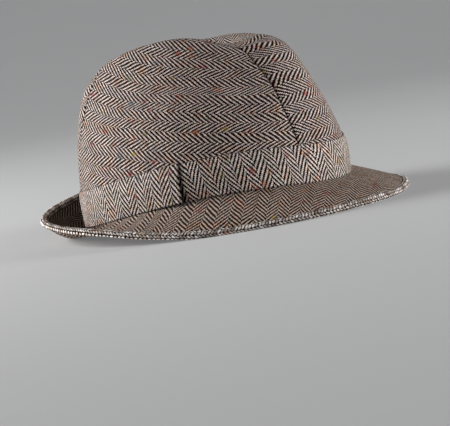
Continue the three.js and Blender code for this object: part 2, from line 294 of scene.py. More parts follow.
def ripple(points, depth, size, seed):
    """Soft unevenness of hand-pressed cloth: a few slow waves, the same on every run."""
    rng = np.random.default_rng(seed)
    total = np.zeros(points.shape[:-1])
    for _ in range(WAVES):
        way = unit(rng.normal(size=3)) * rng.uniform(*WAVE_SPREAD) * 2 * math.pi / size
        total += np.sin(points @ way + rng.uniform(0, 2 * math.pi))
    return depth * total / WAVES


def settle(points):
    """Points of the hat's own frame at rest in the shared frame, in metres."""
    c, s = math.cos(REST_PITCH), math.sin(REST_PITCH)
    x = points[..., 0] * c + points[..., 2] * s
    z = -points[..., 0] * s + points[..., 2] * c
    return np.stack([x, points[..., 1], z], -1) * MM


def rest_shift():
    """Move that lays the turned hat on the frame, from the right panel's middle in length and its top."""
    grid = settle(side_grid(-1, np.linspace(0, 1, 31), np.linspace(0, 1, 15)))
    low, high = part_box("crown_side_right")
    return np.array([
        (low.x + high.x - grid[..., 0].min() - grid[..., 0].max()) / 2,
        0,
        high.z - grid[..., 2].max(),
    ])


SHIFT = rest_shift()


def wall_mesh(name, outer, inner, uv, hem_and_shade, material, ring=False, inner_hem=None):
    """Closed mesh between two grids of the same size, with its cloth's coordinates and a second map of its
    distance from the border and its painted shade.
    """
    rows, cols = outer.shape[:2]
    steps = cols if ring else cols - 1
    r, c = np.meshgrid(np.arange(rows - 1), np.arange(steps), indexing="ij")
    r, c = r.ravel(), c.ravel()

    def at(row, col, layer):
        return layer * rows * cols + row * cols + col % cols, (layer, row, col)

    quads = [
        [at(r, c, 0), at(r, c + 1, 0), at(r + 1, c + 1, 0), at(r + 1, c, 0)],
        [at(r, c, 1), at(r + 1, c, 1), at(r + 1, c + 1, 1), at(r, c + 1, 1)],
    ]
    first, last = np.zeros(steps, int), np.full(steps, rows - 1)
    c = np.arange(steps)
    quads += [
        [at(first, c, 0), at(first, c, 1), at(first, c + 1, 1), at(first, c + 1, 0)],
        [at(last, c, 0), at(last, c + 1, 0), at(last, c + 1, 1), at(last, c, 1)],
    ]
    if not ring:
        r = np.arange(rows - 1)
        start, end = np.zeros(rows - 1, int), np.full(rows - 1, cols - 1)
        quads += [
            [at(r, start, 0), at(r + 1, start, 0), at(r + 1, start, 1), at(r, start, 1)],
            [at(r, end, 0), at(r, end, 1), at(r + 1, end, 1), at(r + 1, end, 0)],
        ]
    faces = np.concatenate([np.stack([corner[0] for corner in quad], -1) for quad in quads])
    hems = (hem_and_shade, hem_and_shade if inner_hem is None else inner_hem)
    both = np.stack([np.concatenate([uv, np.broadcast_to(layer, uv.shape)], -1) for layer in hems])
    places = np.concatenate([np.stack([both[corner[1]] for corner in quad], 1) for quad in quads])
    points = np.concatenate([outer.reshape(-1, 3), inner.reshape(-1, 3)])
    a, b, d = points[faces[:, 0]], points[faces[:, 1]], points[faces[:, 2]]
    if np.sum(a * np.cross(b, d)) < 0:
        faces, places = faces[:, ::-1], places[:, ::-1]
    rest = settle(points) + SHIFT
    rest[:, 2] = np.maximum(rest[:, 2], 0)
    return new_mesh(name, rest, faces, places, material)


def new_mesh(name, points, faces, places, material):
    mesh = bpy.data.meshes.new(name)
    mesh.from_pydata(points.tolist(), [], faces.tolist())
    for first, layer in ((0, "Cloth"), (2, "HemAndShade")):
        part = np.ascontiguousarray(places[..., first:first + 2], np.float32)
        mesh.uv_layers.new(name=layer).data.foreach_set("uv", part.ravel())
    mesh.polygons.foreach_set("use_smooth", np.ones(len(mesh.polygons), bool))
    mesh.materials.append(material)
    mesh.update()
    piece = bpy.data.objects.new(name, mesh)
    bpy.context.scene.collection.objects.link(piece)
    return piece


# Materials

class Nodes:
    """Short calls for building a material's nodes."""

    def __init__(self, name):
        self.material = bpy.data.materials.new(name)
        self.material.use_nodes = True
        self.tree = self.material.node_tree
        self.tree.nodes.clear()

    def add(self, kind, inputs=(), **settings):
        node = self.tree.nodes.new(kind)
        for key, value in settings.items():
            setattr(node, key, value)
        for key, value in dict(inputs).items():
            self.put(node.inputs[key], value)
        return node

    def put(self, socket, value):
        if isinstance(value, bpy.types.NodeSocket):
            self.tree.links.new(value, socket)
        else:
            socket.default_value = value

    def math(self, operation, *values):
        node = self.tree.nodes.new("ShaderNodeMath")
        node.operation = operation
        for socket, value in zip(node.inputs, values):
            self.put(socket, value)
        return node.outputs[0]

    def mix(self, share, a, b, blend="MIX"):
        node = self.add("ShaderNodeMix", data_type="RGBA", blend_type=blend)
        self.put(node.inputs["Factor"], share)
        self.put(node.inputs[6], a)
        self.put(node.inputs[7], b)
        return node.outputs[2]

    def tinted(self, share, colour, tint):
        """A colour that takes a share of a tint."""
        return self.mix(share, colour, self.mix(1.0, colour, tint, "MULTIPLY"))

    def step(self, value, low, high, start=0.0, end=1.0):
        inputs = {"Value": value, "From Min": low, "From Max": high, "To Min": start, "To Max": end}
        return self.add("ShaderNodeMapRange", inputs, interpolation_type="SMOOTHSTEP").outputs[0]

    def scaled(self, amount, value, gain, base):
        """An amount times a value's own factor, which is the base at 0 and the base and gain at 1."""
        return self.math("MULTIPLY", amount, self.math("MULTIPLY_ADD", value, gain, base))

    def centred(self, value):
        """A value between 0 and 1, moved to lie about 0."""
        return self.math("SUBTRACT", value, 0.5)

    def dome(self, share):
        """Height of a round yarn at a share of its width: 0 at both sides and 1 in the middle."""
        across = self.math("MULTIPLY", self.centred(share), 2.0)
        return self.math("SUBTRACT", 1.0, self.math("MULTIPLY", across, across))

    def combine(self, x, y=0.0, z=0.0):
        return self.add("ShaderNodeCombineXYZ", {"X": x, "Y": y, "Z": z}).outputs[0]

    def random(self, vector):
        node = self.add("ShaderNodeTexWhiteNoise", {"Vector": vector}, noise_dimensions="3D")
        return node.outputs["Value"]

    def noise(self, vector, scale, detail=2.0):
        inputs = {"Vector": vector, "Scale": scale, "Detail": detail, "Roughness": 0.55}
        return self.add("ShaderNodeTexNoise", inputs).outputs["Fac"]

    def noise_colour(self, vector, scale, detail):
        inputs = {"Vector": vector, "Scale": scale, "Detail": detail}
        return self.add("ShaderNodeTexNoise", inputs).outputs["Color"]


def srgb(red, green, blue):
    """Linear colour, with full alpha, of an sRGB colour given from 0 to 255."""
    def linear(value):
        share = value / 255
        return share / 12.92 if share <= 0.04045 else ((share + 0.055) / 1.055) ** 2.4
    return (linear(red), linear(green), linear(blue), 1.0)


# Noises over the cloth: scale, for each millimetre, and detail
HAIRS = (2.6, 3.0)
GRAIN = (0.85, 2.0)
PATCHES = (0.045, 2.0)
HUES = (0.22, 2.0)
STAINS = (0.1, 1.5)
EDGE_GRAIN = (0.7, 2.0)
EDGE_WEAR = (0.11, 2.0)

# How the weave wanders: scale of the wandering and its reach in millimetres
CLOTH_SWAY = (0.045, 3.0)
EDGE_SWAY = (0.35, 2.0)

# How far a thread's floats, and each float's ends, are off, and where one yarn gives way to the other
THREAD_OFF = 0.12
FLOAT_OFF = 0.16
YARN_CHANGE = (-0.03, 0.05)

# Second number of the draw that gives each thread its own place
THREAD_SEED = 3.7

# Brightness by each value of the cloth: its gain and its base
TONE_SHADE = (0.6, 0.7)
HAIR_SHADE = (0.8, 0.6)
GRAIN_SHADE = (0.9, 0.55)
PATCH_SHADE = (0.4, 0.8)
# Painted shade: round yarns are darker towards their sides, where they dip between their neighbours
ROUND_SHADE = (0.5, 0.62)
# Painted shade, beside the band's tuck and in the trough behind the crown, darkens the colour by this
PAINTED_SHADE_FACTOR = (-0.92, 1.0)

# The same for the rolled edge, whose yarns add their own tone to a row's
EDGE_TONE_GAIN = 0.7
EDGE_HAIR_SHADE = (0.7, 0.65)
EDGE_GRAIN_SHADE = (0.8, 0.6)
# Painted shade, in the roll's groove and on its inside behind the crown, darkens the colour by this
EDGE_PAINTED_SHADE_FACTOR = (-0.8, 1.0)
EDGE_WEAR_SHADE = (0.45, 0.78)

# Distances from a cloth's border, in millimetres, between which the shade painted along it ends
BORDER_SHADE_SPAN = (0.1, 1.3)

# Colour: spread of the hue, the tint of the lightest floats and of soft stains, and the tone of worn yarn
MIDDLE_GREY = (0.5, 0.5, 0.5, 1)
WHITE = (1, 1, 1, 1)
HUE_SPREAD = (0.24, 0.2, 0.26, 1)
FLOAT_TINT = srgb(220, 186, 156)
FLOAT_TINT_SHARE = 0.25
STAIN_TINT = srgb(250, 208, 172)
STAIN_TINT_SHARE = 0.5
STAIN_SPAN = (0.5, 0.72)
STAIN_PLACE = (31.0, 17.0, 0.0)
WORN_YARN = srgb(236, 214, 196)
WEAR_SPAN = (0.34, 0.58)

# Tufts of coloured wool: their colours, cells for each millimetre along and across the columns, raggedness,
# span over which a tuft fades, spread of their strength, share of cells that have one, and their weight
FLECKS = (
    srgb(212, 116, 44), srgb(164, 58, 38), srgb(196, 166, 66),
    srgb(118, 126, 76), srgb(176, 64, 80), srgb(100, 122, 136),
)
TUFT_CELLS = (0.1, 0.14, 1.0)
TUFT_RAGGED = 0.3
TUFT_FADE = (0.02, 0.46)
TUFT_STRENGTH = (0.7, 0.35)
CLOTH_TUFT_SHARE = 0.48
CLOTH_TUFT_WEIGHT = (0.4, 0.35)
EDGE_TUFT_SHARE = 0.35
EDGE_TUFT_WEIGHT = 0.7

# Relief: heights of the yarns' roundness, of the upper yarn, of an edge's yarn and of the hairs, the depth
# that a height of 1 stands for, and the strength on the cloth and on the edge
ROUND_HEIGHT = 0.55
UPPER_HEIGHT = 0.35
EDGE_YARN_HEIGHT = 0.9
HAIR_HEIGHT = 0.8
RELIEF_DEPTH = 0.35 * MM
CLOTH_RELIEF = 0.5
EDGE_RELIEF = 0.6

# Roughness by the hairs: gain and base
ROUGHNESS = (0.12, 0.84)

# Rows of yarn that show round the rolled edge: middle and half width across the roll, pitch along the rim,
# half length as a share of the pitch, lean of each yarn and how light it is
EDGE_ROWS = (
    dict(middle=-2.3, half_width=1.4, pitch=3.4, half_length=0.35, slant=-0.16, tone=1.15),
    dict(middle=0.7, half_width=1.2, pitch=2.7, half_length=0.38, slant=0.3, tone=0.4),
    dict(middle=3.3, half_width=1.3, pitch=2.4, half_length=0.4, slant=-0.25, tone=0.35),
    dict(middle=6.0, half_width=1.25, pitch=2.9, half_length=0.4, slant=0.25, tone=0.35),
    dict(middle=-5.2, half_width=1.2, pitch=2.7, half_length=0.36, slant=0.25, tone=0.5),
    dict(middle=-7.6, half_width=1.1, pitch=3.4, half_length=0.36, slant=-0.25, tone=0.5),
)

# Where an edge's yarn fades, as shares of its half width and half length
YARN_FADE = (0.8, 1.1)


def cloth_maps(n):
    """Cloth coordinates, distance from the cloth's border, both in millimetres, and how much shade is
    painted there.
    """
    place = n.add("ShaderNodeUVMap", uv_map="Cloth").outputs[0]
    hem_and_shade = n.add("ShaderNodeSeparateXYZ", {0: n.add("ShaderNodeUVMap", uv_map="HemAndShade").outputs[0]}).outputs
    return place, hem_and_shade["X"], hem_and_shade["Y"]


def swayed(n, place, scale, span):
    """The x and y of cloth coordinates that wander a little, as yarn does."""
    wander = n.noise_colour(place, scale, 1.0)
    sway = n.add("ShaderNodeVectorMath", {0: wander, 1: MIDDLE_GREY[:3]}, operation="SUBTRACT").outputs[0]
    sway = n.add("ShaderNodeVectorMath", {0: sway, "Scale": span}, operation="SCALE").outputs[0]
    moved = n.add("ShaderNodeVectorMath", {0: place, 1: sway}, operation="ADD").outputs[0]
    return n.add("ShaderNodeSeparateXYZ", {0: moved}).outputs


def flecked(n, place, yarn, hairs, share, weight):
    """Yarn colour with a few small tufts of coloured wool."""
    spread = n.add("ShaderNodeVectorMath", {0: place, 1: TUFT_CELLS}, operation="MULTIPLY").outputs[0]
    cells = n.add("ShaderNodeTexVoronoi", {"Vector": spread, "Scale": 1.0, "Randomness": 1.0}).outputs
    pick = n.add("ShaderNodeSeparateColor", {0: cells["Color"]}).outputs
    ragged = n.math("ADD", cells["Distance"], n.math("MULTIPLY", n.centred(hairs), TUFT_RAGGED))
    tuft = n.step(ragged, *TUFT_FADE, 1.0, 0.0)
    tuft = n.math("MULTIPLY", tuft, n.math("LESS_THAN", pick["Red"], share))
    tuft = n.scaled(tuft, pick["Blue"], *TUFT_STRENGTH)
    ramp = n.add("ShaderNodeValToRGB", {"Fac": pick["Green"]})
    ramp.color_ramp.interpolation = "CONSTANT"
    stops = ramp.color_ramp.elements
    while len(stops) < len(FLECKS):
        stops.new(1.0)
    for i, colour in enumerate(FLECKS):
        stops[i].position = i / len(FLECKS)
        stops[i].color = colour
    return n.mix(n.math("MULTIPLY", tuft, weight), yarn, ramp.outputs["Color"])


def cloth_finish(n, colour, bright, height, relief, hairs):
    """Matt woollen surface: its colour times a brightness, its relief, and a light veil of hairs."""
    scale = n.add("ShaderNodeCombineColor", {0: bright, 1: bright, 2: bright}).outputs[0]
    height = n.math("MULTIPLY_ADD", hairs, HAIR_HEIGHT, height)
    bump = n.add("ShaderNodeBump", {"Height": height, "Strength": relief, "Distance": RELIEF_DEPTH})
    finish = n.add("ShaderNodeBsdfPrincipled", {
        "Base Color": n.mix(1.0, colour, scale, "MULTIPLY"),
        "Roughness": n.math("MULTIPLY_ADD", hairs, *ROUGHNESS),
        "Normal": bump.outputs[0],
        "Specular IOR Level": 0.03,
        "Sheen Weight": 0.05,
        "Sheen Roughness": 0.4,
        "Sheen Tint": srgb(230, 200, 172),
    })
    n.put(n.add("ShaderNodeOutputMaterial").inputs["Surface"], finish.outputs[0])
    return n.material


def tweed(name, light, dark, weft, border_shade_level=0.42):
    """Herringbone in two yarns over cloth coordinates: x along the columns, y across them.

    The weft is the share of each repeat in which the dark yarn shows, and the last argument is the
    brightness that is left at a border, where shade is painted along the seams and edges.
    """
    n = Nodes(name)
    place, border, painted_shade = cloth_maps(n)
    parts = swayed(n, place, *CLOTH_SWAY)
    ends = n.math("DIVIDE", parts["Y"], END_SPACING)
    end = n.math("FLOOR", ends)
    zigzag = n.math("PINGPONG", end, float(ENDS_PER_COLUMN))
    column = n.math("FLOOR", n.math("DIVIDE", end, float(ENDS_PER_COLUMN)))
    turned = n.math("FLOORED_MODULO", column, 2.0)
    thread = n.random(n.combine(end, THREAD_SEED))

    # Twill that turns back at each column, every second column moved along by one pick
    picks = n.math("DIVIDE", parts["X"], PICK_SPACING * PICKS_PER_REPEAT)
    phase = n.math("ADD", picks, n.math("DIVIDE", zigzag, float(PICKS_PER_REPEAT)))
    phase = n.math("MULTIPLY_ADD", turned, 1 / PICKS_PER_REPEAT, phase)
    phase = n.math("ADD", phase, n.math("MULTIPLY", n.centred(thread), THREAD_OFF))
    float_number = n.math("FLOOR", phase)
    in_float = n.math("FRACT", phase)
    tone = n.random(n.combine(end, float_number, column))
    hairs = n.noise(place, *HAIRS)
    grain = n.noise(place, *GRAIN)
    patches = n.noise(place, *PATCHES)

    # The light yarn lies on top for a share of each repeat, and both yarns are round
    rise = n.math("PINGPONG", n.math("ADD", in_float, 0.25), 0.5)
    rise = n.math("MULTIPLY_ADD", n.centred(grain), FLOAT_OFF, rise)
    on_top = n.step(rise, weft / 2 + YARN_CHANGE[0], weft / 2 + YARN_CHANGE[1])
    upper = n.math("MULTIPLY", on_top, n.dome(n.math("FRACT", ends)))
    under = n.dome(n.math("FRACT", n.math("MULTIPLY", in_float, 2.0)))
    yarn_round = n.math("ADD", upper, n.math("MULTIPLY", n.math("SUBTRACT", 1.0, on_top), under))

    # Each float of yarn has its own tone, fine hairs break every edge, and shade is painted at borders and
    # seams
    bright = n.math("MULTIPLY_ADD", tone, *TONE_SHADE)
    bright = n.scaled(bright, hairs, *HAIR_SHADE)
    bright = n.scaled(bright, grain, *GRAIN_SHADE)
    bright = n.scaled(bright, patches, *PATCH_SHADE)
    # Painted shade: each yarn darker towards its sides, between its neighbours
    bright = n.scaled(bright, yarn_round, *ROUND_SHADE)
    # Painted shade along every border and seam
    bright = n.math("MULTIPLY", bright, n.step(border, *BORDER_SHADE_SPAN, border_shade_level, 1.0))
    # Painted shade beside the band's tuck and in the trough behind the crown
    bright = n.scaled(bright, painted_shade, *PAINTED_SHADE_FACTOR)

    # The lightest floats are warmer, the hue wanders, and a few soft stains are browner
    yarn = n.mix(on_top, dark, light)
    yarn = n.tinted(n.step(tone, 0.5, 1.0, 0.0, FLOAT_TINT_SHARE), yarn, FLOAT_TINT)
    hue = n.mix(1.0, n.noise_colour(place, *HUES), MIDDLE_GREY, "SUBTRACT")
    hue = n.mix(1.0, n.mix(1.0, hue, HUE_SPREAD, "MULTIPLY"), WHITE, "ADD")
    yarn = n.mix(1.0, yarn, hue, "MULTIPLY")
    elsewhere = n.add("ShaderNodeVectorMath", {0: place, 1: STAIN_PLACE}, operation="ADD").outputs[0]
    stain = n.step(n.noise(elsewhere, *STAINS), *STAIN_SPAN)
    yarn = n.tinted(n.math("MULTIPLY", stain, STAIN_TINT_SHARE), yarn, STAIN_TINT)
    tuft_weight = n.math("MULTIPLY_ADD", on_top, *CLOTH_TUFT_WEIGHT)
    colour = flecked(n, place, yarn, hairs, CLOTH_TUFT_SHARE, tuft_weight)

    height = n.math("MULTIPLY", on_top, UPPER_HEIGHT)
    height = n.math("MULTIPLY_ADD", yarn_round, ROUND_HEIGHT, height)
    return cloth_finish(n, colour, bright, height, CLOTH_RELIEF, hairs)


def rolled_edge(name, light, dark):
    """Turned edge of the same cloth: x along the rim, y round the roll from its outermost line, upwards."""
    n = Nodes(name)
    place, _, painted_shade = cloth_maps(n)
    parts = swayed(n, place, *EDGE_SWAY)
    hairs = n.noise(place, *HAIRS)
    grain = n.noise(place, *EDGE_GRAIN)
    worn = n.step(n.noise(place, *EDGE_WEAR), *WEAR_SPAN)
    lit, tone = 0.0, 0.0
    for row in EDGE_ROWS:
        up = n.math("SUBTRACT", parts["Y"], row["middle"])
        run = n.math("DIVIDE", parts["X"], row["pitch"])
        run = n.math("ADD", run, n.math("MULTIPLY", up, row["slant"]))
        aside = n.math("MULTIPLY", n.centred(n.math("FRACT", run)), 1 / row["half_length"])
        above = n.math("DIVIDE", up, row["half_width"])
        far = n.math("ADD", n.math("MULTIPLY", aside, aside), n.math("MULTIPLY", above, above))
        blob = n.step(n.math("SQRT", far), *YARN_FADE, 1.0, 0.0)
        own = n.random(n.combine(n.math("FLOOR", run), row["middle"]))
        own = n.math("MULTIPLY_ADD", own, EDGE_TONE_GAIN, row["tone"])
        lit = n.math("MAXIMUM", lit, blob)
        tone = n.math("MAXIMUM", tone, n.math("MULTIPLY", blob, own))
    bright = n.math("MAXIMUM", tone, n.math("SUBTRACT", 1.0, lit))
    bright = n.scaled(bright, hairs, *EDGE_HAIR_SHADE)
    bright = n.scaled(bright, grain, *EDGE_GRAIN_SHADE)
    # Painted shade in the groove and on the roll's inside behind the crown
    bright = n.scaled(bright, painted_shade, *EDGE_PAINTED_SHADE_FACTOR)
    bright = n.scaled(bright, worn, *EDGE_WEAR_SHADE)
    yarn = n.mix(lit, dark, n.mix(worn, WORN_YARN, light))
    colour = flecked(n, place, yarn, hairs, EDGE_TUFT_SHARE, EDGE_TUFT_WEIGHT)
    height = n.math("MULTIPLY", lit, EDGE_YARN_HEIGHT)
    return cloth_finish(n, colour, bright, height, EDGE_RELIEF, hairs)


LIGHT_YARN = srgb(237, 225, 219)
DARK_YARN = srgb(46, 18, 8)
side_cloth = tweed("side_cloth", LIGHT_YARN, DARK_YARN, weft=0.6)
centre_cloth = tweed("centre_cloth", LIGHT_YARN, DARK_YARN, weft=0.6)
strip_cloth = tweed("strip_cloth", srgb(246, 235, 228), srgb(40, 18, 10), weft=0.525)
# Painted shade: the brim's cloth is a darker, browner copy of the same tweed, for its upward-facing top that
# catches less light
shaded_top_cloth = tweed("shaded_top_cloth", srgb(217, 201, 190), srgb(45, 21, 10), weft=0.58, border_shade_level=0.55)
roll_cloth = rolled_edge("roll_cloth", srgb(255, 247, 242), srgb(46, 30, 22))


# Pieces

# How finely the cloth is divided
SHARES = fine_steps(200)
RISES = fine_steps(100)
ACROSS = 1 - 2 * fine_steps(44, 0.02)
BAND_RISES = fine_steps(22, 0.05)
BAND_STEPS = 520
BRIM_SHARES = fine_steps(34, 0.03)
RING_STEPS = 480
ROLL_SIDES = 32
ROLL_STEPS = 1500

# Small turn or share of a length, between whose ends a slope is measured
SMALL = 0.015

# Unevenness of the cloth, and how far from a border it comes in
CROWN_RIPPLE = dict(depth=0.35, size=70, seed=11)
CROWN_RIPPLE_FADE = 15
BAND_RIPPLE = dict(depth=0.2, size=40, seed=5)
BRIM_RIPPLE = dict(depth=0.3, size=60, seed=8)
BRIM_RIPPLE_FADE = 8
ROLL_RIPPLE = dict(depth=0.25, size=18, seed=21)

# Slope of a side panel's columns, down to the front
COLUMN_TILT = math.radians(13)

# Depth and width of a sewn seam's dip, how far from it the walls are mitred, and the step that shows which
# way leads from a border into its panel
SEAM_DIP = 0.7
SEAM_WIDTH = 1.8
SEAM_MITRE = 3.0
INWARD_STEP = 3

# Points over which the centre panel's narrowing is smoothed
NARROWING_STEPS = 25

# Lean of the columns in the first part of the band, and the lengths along it between which that ends
STRIP_TILT = math.radians(14)
STRIP_TILT_SPAN = (90, 200)

# Shade painted beside the band's tuck, where the lifted end shades the band under it: how far round it
# reaches at the foot, in degrees, its depth, how much less far it reaches at the top, and how sharply it
# ends
TUCK_SHADE = 2.4
TUCK_DEPTH = 1.15
TUCK_NARROWING = 0.85
TUCK_SHARPNESS = 1.5

# How far the band's foot is pressed down past the crown's, onto the brim
BAND_SINK = 0.7

# How far the band's last end stands off at its foot, and how many overlaps back that starts
STRIP_FLARE = 2.6
STRIP_FLARE_REACH = 1.6

# How far the band's top is drawn in where it is sewn down, and the heights between which that happens
STRIP_SEWN = 0.9
STRIP_SEWN_SPAN = (20, 27)

# How far the brim's border lies in the rolled edge
BRIM_TUCK = 0.6

# Swing of the brim's columns in front, as a slope, and where along the hat it starts and ends
BRIM_SWING = 0.24
SWING_FROM = 0
SWING_TO = 95

# Shade painted on the brim in the trough behind the crown, where the crown's shadow falls, and the span over
# which it comes in, by the cosine of the turn
TROUGH_SHADE = 0.78
TROUGH_SPAN = (0.35, 0.75)

# The same painted shade on the inside of the rolled edge, behind the crown, and the girths between which it
# comes in
ROLL_SHADE = 1.15 * TROUGH_SHADE
ROLL_SHADE_SPAN = (4.0, 5.0)

# Groove between the roll's two layers: girth at which it lies, depth, width, and the shade painted into it
GROOVE_GIRTH = -0.75
GROOVE_DEPTH = 0.3
GROOVE_WIDTH = 0.55
GROOVE_SHADE = 0.9
GROOVE_SHADE_WIDTH = 0.4

# How far a row's yarns stand out of the roll, and a distance that is far from any border
ROW_HEIGHT = 0.16
NO_BORDER = 20


def cloth_uv_side(grid, flip):
    """Cloth coordinates of a side panel: its columns run from front to back, a little down to the front."""
    middle = grid.shape[1] // 2
    along = lengths(grid, 1)
    along = (along - along[:, middle:middle + 1]) * flip
    up = lengths(grid, 0)
    level = grid[..., 2] + math.tan(COLUMN_TILT) * grid[..., 0]
    mid_level = CROWN_HEIGHT * 0.5
    base = np.array([np.interp(mid_level, level[:, c], up[:, c]) for c in range(grid.shape[1])])
    return np.stack([along * math.cos(COLUMN_TILT) + up * math.sin(COLUMN_TILT) * flip, up - base], -1)


def cloth_uv_centre(grid):
    """Cloth coordinates of the centre panel: columns run across the hat, bent as a cone's flat cut is."""
    middle = grid.shape[1] // 2
    across = lengths(grid, 1)
    width = across[:, -1]
    across = across - across[:, middle:middle + 1]
    up = lengths(grid, 0)[:, middle]
    narrowing = np.gradient(width, up) / width
    kernel = np.hanning(NARROWING_STEPS)
    kernel /= kernel.sum()
    padded = np.pad(narrowing, NARROWING_STEPS // 2, mode="edge")
    narrowing = np.convolve(padded, kernel, mode="valid")
    return np.stack([across, up[:, None] - narrowing[:, None] * across**2 / 2], -1)


def crown_panels():
    """The crown's three panels. They share their seams' points and directions, so the walls are mitred."""
    grids = {
        "left": side_grid(1, SHARES, RISES),
        "right": side_grid(-1, SHARES, RISES),
        "centre": centre_grid(SHARES, RISES, ACROSS),
    }
    normals = {name: directions(grid) for name, grid in grids.items()}
    rows = len(RISES)
    for name, column in (("left", 0), ("right", -1)):
        side = normals[name]
        front = (slice(0, rows - 1), column), (slice(0, rows - 1), 0)
        top = (slice(rows - 1, rows - 1 + len(SHARES)), column), (rows - 1, slice(None))
        back = (slice(rows - 1 + len(SHARES), None), column), (slice(rows - 2, None, -1), -1)
        for centre_at, side_at in (front, top, back):
            shared = unit(normals["centre"][centre_at] + side[side_at])
            normals["centre"][centre_at] = shared
            side[side_at] = shared
    cloth_uv = {
        "left": cloth_uv_side(grids["left"], 1),
        "right": cloth_uv_side(grids["right"], 1),
        "centre": cloth_uv_centre(grids["centre"]),
    }
    made = {}
    for name, grid in grids.items():
        near = from_borders(grid)
        own = directions(grid)
        blend = smooth_step(near, 0, SEAM_MITRE)[..., None]
        normal = unit(mix(normals[name], own, blend))
        half = CROWN_CLOTH / 2 * rounded(near, CROWN_CLOTH / 2)
        dip = SEAM_DIP * bell(near, 0, SEAM_WIDTH)
        uneven = ripple(grid, **CROWN_RIPPLE) * smooth_step(near, 0, CROWN_RIPPLE_FADE)
        middle = grid + normal * (uneven - dip - CROWN_CLOTH / 2)[..., None]
        inward = pulled_in(grid)
        outer = middle + normal * half[..., None] + inward
        inner = middle - normal * half[..., None] + inward
        cloth = centre_cloth if name == "centre" else side_cloth
        made[name] = wall_mesh("panel_" + name, outer, inner, cloth_uv[name], hem_and_shade_uv(near), cloth)
    return made


def hem_and_shade_uv(near, painted_shade=0.0):
    """Second coordinates of a cloth: distance from the border, and how much shade is painted on the cloth
    there.
    """
    return np.stack(np.broadcast_arrays(near, painted_shade), -1)


def pulled_in(grid):
    """Move of a panel's border points into the panel, so that neighbours stay a gap apart."""
    move = np.zeros_like(grid)
    move[:, 0] = unit(grid[:, INWARD_STEP] - grid[:, 0]) * GAP / 2
    move[:, -1] = unit(grid[:, -1 - INWARD_STEP] - grid[:, -1]) * GAP / 2
    return move


def ring_turns(steps):
    return np.arange(steps) * 2 * math.pi / steps


def band_piece():
    """Band of the same cloth, its last end laid over its first on the wearer's right."""
    start, length = BAND_TUCK_TURN - BAND_OVERLAP, 360 + BAND_OVERLAP
    steps = np.linspace(0, 1, BAND_STEPS)
    turn, up = np.meshgrid(np.radians(start + length * steps), BAND_RISES)
    foot = foot_height(turn)
    height = mix(-BAND_SINK, GAP + BAND_HEIGHT, up)
    rise = height / (wall_point(turn, np.ones_like(turn))[..., 2] - foot)
    base = wall_point(turn, rise)
    around = wall_point(turn + SMALL, rise) - wall_point(turn - SMALL, rise)
    upward = wall_point(turn, rise + SMALL) - wall_point(turn, np.maximum(rise - SMALL, 0))
    normal = unit(np.cross(around, upward))
    left = length * (1 - steps)[None, :]
    lift = 1 - smooth_step(left, BAND_OVERLAP, BAND_OVERLAP + BAND_END_LIFT)
    loose = (1 - smooth_step(left, 0, BAND_OVERLAP * STRIP_FLARE_REACH)) * (1 - up)
    stand = GAP + lift * (BAND_CLOTH + GAP) + loose * STRIP_FLARE + BAND_CLOTH / 2
    near = from_borders(base)
    half = BAND_CLOTH / 2 * rounded(near, BAND_CLOTH / 2)
    sewn = STRIP_SEWN * smooth_step(up * BAND_HEIGHT, *STRIP_SEWN_SPAN)
    stand = stand + ripple(base, **BAND_RIPPLE) - sewn
    along = np.broadcast_to(lengths(base, 1)[len(BAND_RISES) // 2], turn.shape)
    tilt = math.tan(STRIP_TILT) * (1 - smooth_step(along, *STRIP_TILT_SPAN))
    uv = np.stack([BAND_HEIGHT * up, along + BAND_HEIGHT * up * tilt], -1)
    # Painted shade on the band beside its tuck, reaching further round at the foot
    past = length * steps[None, :] - BAND_OVERLAP
    reached = past / (TUCK_SHADE * (TUCK_DEPTH - TUCK_NARROWING * up))
    shaded = np.clip(TUCK_DEPTH - reached, 0, 1) ** TUCK_SHARPNESS
    middle = base + normal * stand[..., None]
    outer, inner = middle + normal * half[..., None], middle - normal * half[..., None]
    return wall_mesh("band_strip", outer, inner, uv, hem_and_shade_uv(near, shaded), strip_cloth)


def behind(turns):
    """How far behind the crown each column of a joined ring's coordinates lies, from 0 to 1."""
    return smooth_step(-np.cos(np.append(turns, turns[0])), *TROUGH_SPAN)


def brim_share(turn, length, measured):
    """Share of the brim's width that a length takes up, next to the foot or next to the edge."""
    span = np.linalg.norm(brim_point(turn, measured + SMALL) - brim_point(turn, measured), axis=-1)
    return length * SMALL / span


def brim_uv(plan):
    """Cloth coordinates of the brim laid flat: columns run across the hat and swing round in front."""
    x, y = plan[..., 0], plan[..., 1]
    swing = BRIM_SWING * smooth_step(x, SWING_FROM, SWING_TO)
    t = np.clip((x - SWING_FROM) / (SWING_TO - SWING_FROM), 0, 1)
    summed = BRIM_SWING * ((SWING_TO - SWING_FROM) * (t**3 - t**4 / 2) + np.maximum(x - SWING_TO, 0))
    return np.stack([y - summed, x + swing * (y + HALF_WIDTH / 2)], -1)


